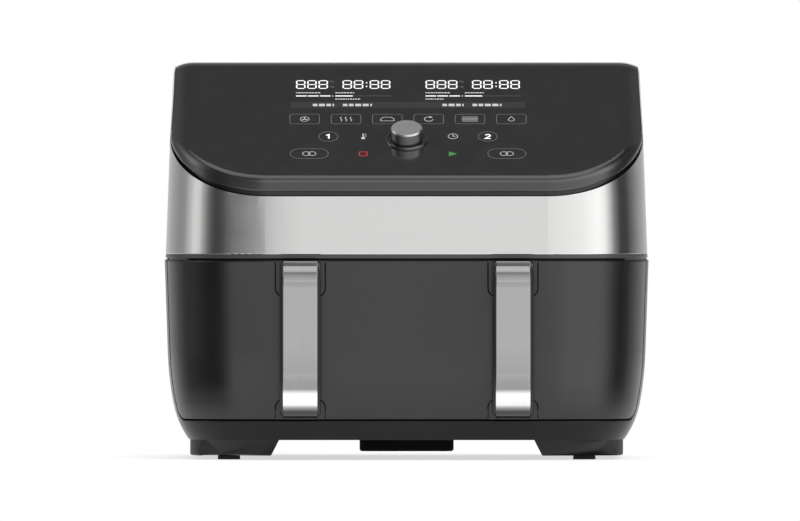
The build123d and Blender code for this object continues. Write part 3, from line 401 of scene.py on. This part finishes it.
class Marks:
    """Collects flat outlines on the panel into one thin raised mesh."""

    def __init__(self, name, material, lift=PRINT_LIFT):
        self.name = name
        self.material = material
        self.lift = lift
        self.mesh = bmesh.new()

    def face(self, outline):
        """Adds one outline of (x, up) points, in mm."""
        low = [self.mesh.verts.new(on_panel(x, up, self.lift)) for x, up in outline]
        high = [self.mesh.verts.new(on_panel(x, up, self.lift + PRINT_THICK)) for x, up in outline]
        count = len(outline)
        for i in range(count):
            j = (i + 1) % count
            self.mesh.faces.new((low[i], low[j], high[j], high[i]))
        self.mesh.faces.new(high)
        self.mesh.faces.new(list(reversed(low)))

    def bar(self, x0, x1, up0, up1):
        self.face([(x0, up0), (x1, up0), (x1, up1), (x0, up1)])

    def block(self, x, up, width, height):
        """Rectangle round its centre."""
        self.bar(x - width / 2, x + width / 2, up - height / 2, up + height / 2)

    def stroke(self, points, width, closed=False):
        """Line of an even width through the points, with mitred corners."""
        count = len(points)
        left, right = [], []
        for i, point in enumerate(points):
            here = Vector(point)
            before = Vector(points[i - 1]) if (i or closed) else None
            after = Vector(points[(i + 1) % count]) if (i < count - 1 or closed) else None
            run_in = (here - before).normalized() if before is not None else (after - here).normalized()
            run_out = (after - here).normalized() if after is not None else run_in
            along = (run_in + run_out).normalized()
            side = Vector((-along.y, along.x))
            spread = width / 2 / max(0.4, side.dot(Vector((-run_in.y, run_in.x))))
            left.append(here + side * spread)
            right.append(here - side * spread)
        spans = count if closed else count - 1
        for i in range(spans):
            j = (i + 1) % count
            self.face([tuple(right[i]), tuple(right[j]), tuple(left[j]), tuple(left[i])])

    def ring(self, x, up, radius, width, start=0.0, sweep=360.0):
        closed = sweep >= 360.0
        steps = max(6, int(sweep / 8))
        count = steps if closed else steps + 1
        angles = [math.radians(start + sweep * i / steps) for i in range(count)]
        points = [(x + radius * math.cos(a), up + radius * math.sin(a)) for a in angles]
        self.stroke(points, width, closed)

    def disc(self, x, up, radius):
        angles = [math.tau * i / 20 for i in range(20)]
        self.face([(x + radius * math.cos(a), up + radius * math.sin(a)) for a in angles])

    def rounded_frame(self, x, up, width, height, radius, line):
        """Outline of a rounded rectangle."""
        points = []
        corners = ((1, 1, 0), (-1, 1, 90), (-1, -1, 180), (1, -1, 270))
        for sx, sy, start in corners:
            cx = x + sx * (width / 2 - radius)
            cy = up + sy * (height / 2 - radius)
            for step in range(9):
                a = math.radians(start + 90 * step / 8)
                points.append((cx + radius * math.cos(a), cy + radius * math.sin(a)))
        self.stroke(points, line, closed=True)

    def finish(self):
        add_piece(self.name, self.mesh, self.material, "housing")


# The left display; the right one is a copy of it. Places in mm from the knob.
DIGIT_W = 7.5
DIGIT_H = 13.0
SEGMENT = 1.1
DIGIT_UP = 84.5
RIGHT_COPY = 102.7
TEMPERATURE_X = (-87.7, -78.8, -69.9)
CLOCK_X = (-50.8, -41.9, -29.3, -20.4)
COLON_X = -31.75
COLON_DOT = (1.1, 1.6)
COLON_SPREAD = 2.8
UNIT_X = -58.0
UNIT_UP = (-4.0, 4.2)
PROGRESS_UP = 66.9
PROGRESS_DONE = ((-87.7, -79.3), (-78.4, -69.9), (-68.8, -60.4), (-56.5, -42.7))
PROGRESS_DOT_X = -58.5
PROGRESS_LEFT = (-42.4, -12.3)
LABEL_UP = 71.8
LABELS = ((3, -87.7, -68.0), (5, -56.5, -41.5))
MESSAGE_UP = 53.0
MESSAGES = ((11, -74.3, -57.5), (12, -50.5, -27.5))
LOWER_LABEL_UP = 62.1
LOWER_LABELS = ((7, -56.5, -36.5), (8, 15.0, 30.0))
SMALL_DASH = 1.5
LARGE_DASH = 3.6
STRIP_X = (-92.0, 94.0)
STRIP_UP = (48.5, 57.7)


def lit_eight(marks, x):
    """Seven-segment figure with every segment lit; x is its left edge."""
    half = DIGIT_H / 2
    notch = SEGMENT * 0.5
    gap = 0.35
    for centre_up in (-half + notch, 0.0, half - notch):
        up = DIGIT_UP + centre_up
        x0, x1 = x + notch + gap, x + DIGIT_W - notch - gap
        marks.face([(x0, up), (x0 + notch, up - notch), (x1 - notch, up - notch),
                    (x1, up), (x1 - notch, up + notch), (x0 + notch, up + notch)])
    for cx in (x + notch, x + DIGIT_W - notch):
        for up0, up1 in ((DIGIT_UP - half + notch, DIGIT_UP), (DIGIT_UP, DIGIT_UP + half - notch)):
            up0, up1 = up0 + gap, up1 - gap
            marks.face([(cx, up0), (cx + notch, up0 + notch), (cx + notch, up1 - notch),
                        (cx, up1), (cx - notch, up1 - notch), (cx - notch, up0 + notch)])


def lit_display(bright, dim, offset):
    """One zone's display: temperature, time, unit marks and a progress bar."""
    for x in TEMPERATURE_X + CLOCK_X:
        lit_eight(bright, offset + x)
    for up in (-COLON_SPREAD, COLON_SPREAD):
        bright.block(offset + COLON_X, DIGIT_UP + up, *COLON_DOT)
    for up in UNIT_UP:
        dim.ring(offset + UNIT_X - 2.4, DIGIT_UP + up + 0.9, 0.55, 0.3)
        dim.ring(offset + UNIT_X, DIGIT_UP + up, 1.1, 0.45, 60, 240)
    for x0, x1 in PROGRESS_DONE:
        bright.bar(offset + x0, offset + x1, PROGRESS_UP - 0.7, PROGRESS_UP + 0.7)
    bright.block(offset + PROGRESS_DOT_X, PROGRESS_UP, 0.8, 1.0)
    x0, x1 = PROGRESS_LEFT
    dim.bar(offset + x0, offset + x1, PROGRESS_UP - 0.15, PROGRESS_UP + 0.15)


def pseudo_label(marks, x0, x1, up, height, seed):
    """Row of small plain dashes in place of a word."""
    chance = random.Random(seed)
    x = x0
    while x < x1 - 0.4:
        width = min(chance.choice((1.2, 1.6, 2.1)) * height / 1.6, x1 - x)
        marks.bar(x, x + width, up - height / 2, up + height / 2)
        x += width + height * 0.35


# Icons and figures for the keys, each drawn round (x, up).

def icon_fan(marks, x, up, size):
    marks.ring(x, up, size * 0.5, 0.45)
    for turn in range(3):
        a = math.radians(90 + turn * 120)
        marks.stroke([(x, up), (x + size * 0.36 * math.cos(a), up + size * 0.36 * math.sin(a))], 0.8)


def icon_flames(marks, x, up, size):
    for dx in (-0.55, 0.0, 0.55):
        curl = [(0.7 * math.sin(t * 2.1), (t / 3.0 - 0.5) * size) for t in range(4)]
        marks.stroke([(x + dx * size + a, up + b) for a, b in curl], 0.55)


def icon_loaf(marks, x, up, size):
    half, rise = size * 0.75, size * 0.4
    left = [(-half, -rise), (-half, 0.0), (-half * 0.6, rise)]
    right = [(-a, b) for a, b in reversed(left)]
    marks.stroke([(x + a, up + b) for a, b in left + right], 0.5, closed=True)


def icon_turn(marks, x, up, size):
    marks.ring(x, up, size * 0.48, 0.55, 60, 290)
    tip_x, tip_up = x + size * 0.24, up + size * 0.42
    marks.face([(tip_x - 1.2, tip_up + 1.3), (tip_x - 1.0, tip_up - 1.5), (tip_x + 1.5, tip_up)])


def icon_grill(marks, x, up, size):
    for step in range(4):
        level = up + (step - 1.5) * size * 0.3
        marks.bar(x - size * 0.9, x + size * 0.9, level - 0.25, level + 0.25)


def icon_drop(marks, x, up, size):
    low = up - size * 0.12
    marks.ring(x, low, size * 0.34, 0.5, 150, 240)
    for side in (-1, 1):
        marks.stroke([(x + side * size * 0.29, low + size * 0.17), (x, up + size * 0.55)], 0.5)


def icon_thermometer(marks, x, up, size):
    marks.disc(x, up - size * 0.36, size * 0.2)
    marks.stroke([(x, up - size * 0.3), (x, up + size * 0.5)], 0.9)
    for step in range(3):
        level = up + size * (0.42 - step * 0.22)
        marks.bar(x + 1.1, x + 2.6, level - 0.2, level + 0.2)


def icon_clock(marks, x, up, size):
    marks.ring(x, up, size * 0.5, 0.55)
    marks.stroke([(x, up + size * 0.34), (x, up), (x + size * 0.26, up)], 0.6)


def icon_linked(marks, x, up, size):
    for dx in (-0.33, 0.33):
        marks.ring(x + dx * size, up, size * 0.42, 0.5)


def figure_one(marks, x, up):
    marks.stroke([(x - 1.6, up + 1.6), (x + 0.4, up + 3.0), (x + 0.4, up - 3.2)], 1.3)


def figure_two(marks, x, up):
    angles = [math.radians(degrees) for degrees in range(160, -50, -30)]
    arc = [(x + 1.9 * math.cos(a), up + 1.3 + 1.9 * math.sin(a)) for a in angles]
    marks.stroke(arc + [(x - 2.0, up - 3.0), (x + 2.3, up - 3.0)], 1.2)


# Rows of keys; the keys sit a little to the right of the knob's centre.
KEY_UP = 31.4
KEY_SHIFT = 1.1
KEY_STEP = 32.7
KEY_X = [KEY_SHIFT + KEY_STEP * (count - 2.5) for count in range(6)]
KEY_SIZE = (23.4, 14.7)
ZONE_KEY_UP = 4.6
ZONE_KEY_OUT = 63.0
LOW_KEY_UP = -21.6
LOW_KEY_OUT = 78.0
LOW_KEY_SIZE = (30.0, 15.0)
SIDE_ICON_UP = 5.0
THERMOMETER_X = -34.4
CLOCK_ICON_X = 36.6
STOP_MARK = (-34.3, -21.9)
STOP_SIZE = 6.0
START_MARK = ((33.4, -25.4), (40.0, -21.9), (33.4, -18.4))
OUTLINE = 0.45


def add_panel_marks():
    """Everything printed or lit on the panel, grouped by colour."""
    bright = Marks("lit_figures", print_material("lit white", (0.9, 0.9, 0.9), 0.62))
    soft = Marks("pale_print", print_material("pale print", (0.62, 0.62, 0.62), 0.32))
    dim = Marks("grey_print", print_material("grey print", (0.22, 0.22, 0.22), 0.1))
    red = Marks("red_mark", print_material("red print", (0.55, 0.03, 0.03), 0.25))
    green = Marks("green_mark", print_material("green print", (0.05, 0.3, 0.06), 0.25))
    strip = Marks("message_strip", print_material("strip film", (0.035, 0.035, 0.036), 0.0), STRIP_LIFT)

    for offset in (0.0, RIGHT_COPY):
        lit_display(bright, dim, offset)
        for seed, start, end in LABELS:
            pseudo_label(soft, offset + start, offset + end, LABEL_UP, SMALL_DASH, seed)
        for seed, start, end in MESSAGES:
            pseudo_label(soft, offset + start, offset + end, MESSAGE_UP, LARGE_DASH, seed)
    for seed, start, end in LOWER_LABELS:
        pseudo_label(soft, start, end, LOWER_LABEL_UP, SMALL_DASH, seed)
    strip.bar(*STRIP_X, *STRIP_UP)

    for x in KEY_X:
        dim.rounded_frame(x, KEY_UP, *KEY_SIZE, 2.4, OUTLINE)
    icons = (icon_fan, icon_flames, icon_loaf, icon_turn, icon_grill, icon_drop)
    for draw, x in zip(icons, KEY_X):
        draw(soft, x, KEY_UP, 7.0)

    for side, figure in ((-1, figure_one), (1, figure_two)):
        x = KEY_SHIFT + side * ZONE_KEY_OUT
        dim.ring(x, ZONE_KEY_UP, 7.5, OUTLINE)
        figure(bright, x, ZONE_KEY_UP)
    icon_thermometer(soft, THERMOMETER_X, SIDE_ICON_UP, 8.0)
    icon_clock(soft, CLOCK_ICON_X, SIDE_ICON_UP, 7.5)
    for x in (KEY_SHIFT - LOW_KEY_OUT, KEY_SHIFT + LOW_KEY_OUT):
        dim.rounded_frame(x, LOW_KEY_UP, *LOW_KEY_SIZE, 7.4, OUTLINE)
        icon_linked(soft, x, LOW_KEY_UP, 7.0)
    red.rounded_frame(*STOP_MARK, STOP_SIZE, STOP_SIZE, 0.8, 0.9)
    green.face(START_MARK)
    for marks in (strip, bright, soft, dim, red, green):
        marks.finish()


add_panel_marks()

# ---- painted shade: dark strips in the front's joints ----------------------------------

# The handle pads, in mm: places across, half width, corner, heights of the inner and outer ends.
PAD_CENTRES = (-83.8, 83.8)
PAD_HALF = 19.3
PAD_CORNER = 6.0
PAD_ENDS = ((129.6, 156.0), (47.7, 33.6))

# The dark line round a pad, painted shade in its joint. The front's skin is measured clear of the pad's
# recess.
SEAM_WIDTH = 1.1
SEAM_OVERLAP = 0.15
SEAM_THICK = 0.4
SEAM_PROUD = 0.06
CLEAR_OF_PAD = 2.3

# The dark strip of painted shadow over the drawer front follows the trim's face, a little way in.
SLOT_Z = (157.7, 159.15)
SLOT_DEPTHS = (0.4, 0.8)
SLOT_HALF = 172.5
SLOT_STEPS = 160
TRIM_FACE_Z = 161.2


def front_skin(node, x, z):
    """Point and outward normal where a ray from the front meets a node; x and z in mm."""
    _, place, normal, _ = node.ray_cast(Vector((x * MM, -1.0, z * MM)), Vector((0.0, 1.0, 0.0)))
    return place, normal


def join_rows(mesh, rows):
    """Four-sided rod through rows of four corners, closed at both ends."""
    around = (0, 1, 3, 2)
    for a, b in zip(rows, rows[1:]):
        for i, j in zip(around, around[1:] + around[:1]):
            mesh.faces.new((a[i], a[j], b[j], b[i]))
    for end in (rows[0], rows[-1]):
        mesh.faces.new([end[i] for i in around])


def pad_outline(centre, inner_z, outer_z):
    """Open outline of a pad in (x, z), in mm, from one side round the inner end to the other."""
    turn = 1.0 if inner_z < outer_z else -1.0
    points = [(centre - PAD_HALF, outer_z)]
    for side, start in ((-1.0, 180.0), (1.0, 270.0)):
        for step in range(7):
            a = math.radians(start + 15.0 * step)
            x = centre + side * (PAD_HALF - PAD_CORNER) + PAD_CORNER * math.cos(a)
            points.append((x, inner_z + turn * (PAD_CORNER + PAD_CORNER * math.sin(a))))
    return points + [(centre + PAD_HALF, outer_z)]


def add_pad_seam_shade():
    """Dark line over the joint between each pad and the drawer front: painted shade in the groove."""
    front = NODES["drawer_front"]
    mesh = bmesh.new()
    for centre in PAD_CENTRES:
        for inner_z, outer_z in PAD_ENDS:
            outline = pad_outline(centre, inner_z, outer_z)
            middle_z = 0.5 * (inner_z + outer_z)
            rows = []
            for x, z in outline:
                point = Vector((x, z))
                away = Vector((x - centre, 0.0 if z == outer_z else z - middle_z)).normalized()
                beside = point + away * CLEAR_OF_PAD
                place, normal = front_skin(front, beside.x, beside.y)
                y = (place + normal * (SEAM_PROUD * MM)).y
                sides = (point - away * SEAM_OVERLAP, point + away * (SEAM_WIDTH - SEAM_OVERLAP))
                rows.append([
                    mesh.verts.new((p.x * MM, y + shift * MM, p.y * MM))
                    for shift in (0.0, SEAM_THICK) for p in sides
                ])
            join_rows(mesh, rows)
    # Painted shade: a near-black strip laid over the pad joints.
    add_piece("pad_seam_shade", mesh, MATERIALS["belly_black"], "drawer")


def add_waist_shadow_strip():
    """Dull black strip in the slot between the trim and the drawer front: painted shadow in the gap."""
    mesh = bmesh.new()
    rows = []
    for step in range(SLOT_STEPS + 1):
        x = SLOT_HALF * math.sin(math.pi * (step / SLOT_STEPS - 0.5))
        place, normal = front_skin(NODES["waist_trim"], x, TRIM_FACE_Z)
        inward = Vector((-normal.x, -normal.y, 0.0)).normalized()
        rows.append([
            mesh.verts.new((*(place + inward * (depth * MM)).xy, z * MM))
            for depth in SLOT_DEPTHS for z in SLOT_Z
        ])
    join_rows(mesh, rows)
    # Painted shadow: a near-black strip in the gap under the trim.
    add_piece("waist_shadow_strip", mesh, MATERIALS["belly_black"], "housing")


add_pad_seam_shade()
add_waist_shadow_strip()

# ---- studio ------------------------------------------------------------------------

# The picture's centre and width in the plane of the object's front, and the far camera.
CENTRE_X = -0.00524
CENTRE_HEIGHT = 0.1576
FRAME_WIDTH = 0.6304
FRONT_Y = -0.166
CAMERA_AWAY = 19.0
CAMERA_DOWN = math.radians(0.35)
SENSOR_MM = 36.0


def add_camera():
    data = bpy.data.cameras.new("camera")
    data.sensor_width = SENSOR_MM
    data.lens = SENSOR_MM * CAMERA_AWAY / FRAME_WIDTH
    data.clip_end = 3.0 * CAMERA_AWAY
    camera = bpy.data.objects.new("camera", data)
    above = CAMERA_AWAY * math.tan(CAMERA_DOWN)
    camera.location = (CENTRE_X, FRONT_Y - CAMERA_AWAY, CENTRE_HEIGHT + above)
    camera.rotation_euler = (math.radians(90) - CAMERA_DOWN, 0.0, 0.0)
    bpy.context.scene.collection.objects.link(camera)
    bpy.context.scene.camera = camera


# Brightness round the object by bearing from the front, in degrees to the right, for
# directions over and under the horizon, and by height over the horizon. The stops are set so
# that the steel's bends and the satin corners reflect what they do in the photograph.
STUDIO_STRENGTH = 1.6
HORIZON_BLEND = 0.05
ROUND_ABOVE = (
    (-180, 0.15), (-140, 0.13), (-123, 0.15), (-112, 0.20), (-100, 0.42), (-93, 0.62),
    (-85, 0.60), (-78, 0.30), (-70, 0.10), (-62, 0.04), (-54, 0.035), (-46, 0.055), (-39, 0.07),
    (-32, 0.095), (-25, 0.12), (-17, 0.16), (-10, 0.22), (-2, 0.52), (3, 0.62), (20, 0.64),
    (40, 0.68), (52, 0.77), (62, 0.83), (71, 0.76), (78, 0.42), (85, 0.14), (95, 0.03),
    (107, 0.02), (120, 0.05), (136, 0.10), (180, 0.15),
)
ROUND_BELOW = (
    (-180, 0.69), (-150, 0.69), (-133, 0.60), (-118, 0.36), (-106, 0.19), (-95, 0.15),
    (-86, 0.10), (-77, 0.06), (-68, 0.03), (-60, 0.03), (-52, 0.14), (-45, 0.44), (-38, 0.76),
    (0, 0.78), (12, 0.82), (20, 1.0), (58, 1.0), (67, 0.86), (75, 0.57), (84, 0.19), (93, 0.03),
    (104, 0.11), (116, 0.40), (130, 0.60), (150, 0.69), (180, 0.69),
)
STUDIO_UP = (
    (-90, 1.2), (-50, 1.0), (0, 1.0), (14, 1.0), (30, 1.7), (50, 1.1), (60, 0.5), (75, 0.42),
    (90, 0.6),
)


def add_world():
    """Studio round the object: brightness by direction, white where the camera looks straight at it."""
    world = bpy.data.worlds.new("studio")
    world.use_nodes = True
    bpy.context.scene.world = world
    studio = Nodes(world.node_tree)

    def soft_stops(turns, degree_stops, whole_turn):
        """Eased brightness by an angle given as a share of its range."""
        even = [(0.5 + degrees / whole_turn, value) for degrees, value in degree_stops]
        made = studio.stops(turns, even)
        made.color_ramp.interpolation = "EASE"
        return made.outputs["Color"]

    ray = studio.node("TexCoord").outputs["Generated"]
    split = studio.node("SeparateXYZ", Vector=ray).outputs
    back = studio.math("MULTIPLY", split["Y"], -1.0)
    bearing = studio.math("MULTIPLY_ADD", studio.math("ARCTAN2", split["X"], back), 1.0 / math.tau, 0.5)
    height = studio.math("MULTIPLY_ADD", studio.math("ARCSINE", split["Z"]), 1.0 / math.pi, 0.5)
    blend = studio.node("Mix")
    blend.data_type = "RGBA"
    blend.clamp_factor = True
    studio.feed(blend.inputs["Factor"], studio.math("MULTIPLY_ADD", split["Z"], 0.5 / HORIZON_BLEND, 0.5))
    studio.feed(blend.inputs["A"], soft_stops(bearing, ROUND_BELOW, 360.0))
    studio.feed(blend.inputs["B"], soft_stops(bearing, ROUND_ABOVE, 360.0))
    light = studio.vector_math("MULTIPLY", blend.outputs["Result"], soft_stops(height, STUDIO_UP, 180.0))
    background = studio.tree.nodes["Background"]
    background.inputs["Strength"].default_value = STUDIO_STRENGTH
    studio.feed(background.inputs["Color"], light)
    white = studio.node("Background", Color=(1.0, 1.0, 1.0, 1.0))
    seen = studio.node("LightPath").outputs["Is Camera Ray"]
    choose = studio.operate("MixShader", None, (seen, background.outputs[0], white.outputs[0]))
    studio.feed(studio.tree.nodes["World Output"].inputs["Surface"], choose.outputs[0])


FLOOR_RADIUS = 0.5
FLOOR_FADE = (0.24, 0.46)
FLOOR_GLOW = 0.62


def add_floor():
    """Pale round floor that fades into the white background."""
    mesh = bmesh.new()
    bmesh.ops.create_circle(mesh, cap_ends=True, segments=96, radius=FLOOR_RADIUS)
    data = bpy.data.meshes.new("floor")
    mesh.to_mesh(data)
    mesh.free()
    floor = bpy.data.objects.new("floor", data)
    bpy.context.scene.collection.objects.link(floor)
    m = Material("floor")
    m.link(m.mix(m.noise(m.place, 6.0), (0.80, 0.80, 0.80), (0.83, 0.83, 0.83)), "Base Color")
    m.link(m.ramp(m.vector_math("LENGTH", m.place, output="Value"), *FLOOR_FADE, 1.0, 0.0), "Alpha")
    m.set(
        Roughness=0.7, Specular_IOR_Level=0.2,
        Emission_Color=(1.0, 1.0, 1.0, 1.0), Emission_Strength=FLOOR_GLOW)
    data.materials.append(m.material)


def add_soft_light(name, place, aim, size, power):
    """Rectangular lamp at a place, turned to a point."""
    data = bpy.data.lights.new(name, "AREA")
    data.shape = "RECTANGLE"
    data.size, data.size_y = size
    data.energy = power
    lamp = bpy.data.objects.new(name, data)
    lamp.location = place
    lamp.rotation_euler = (Vector(aim) - Vector(place)).to_track_quat("-Z", "Y").to_euler()
    bpy.context.scene.collection.objects.link(lamp)


add_camera()
add_world()
add_floor()
add_soft_light("overhead", (0.0, -0.2, 1.9), (0.0, 0.0, 0.1), (1.6, 1.2), 6.0)
add_soft_light("behind", (0.0, 2.2, 1.0), (0.0, 0.1, 0.3), (2.4, 1.2), 10.0)
bpy.context.scene.view_settings.view_transform = "Standard"
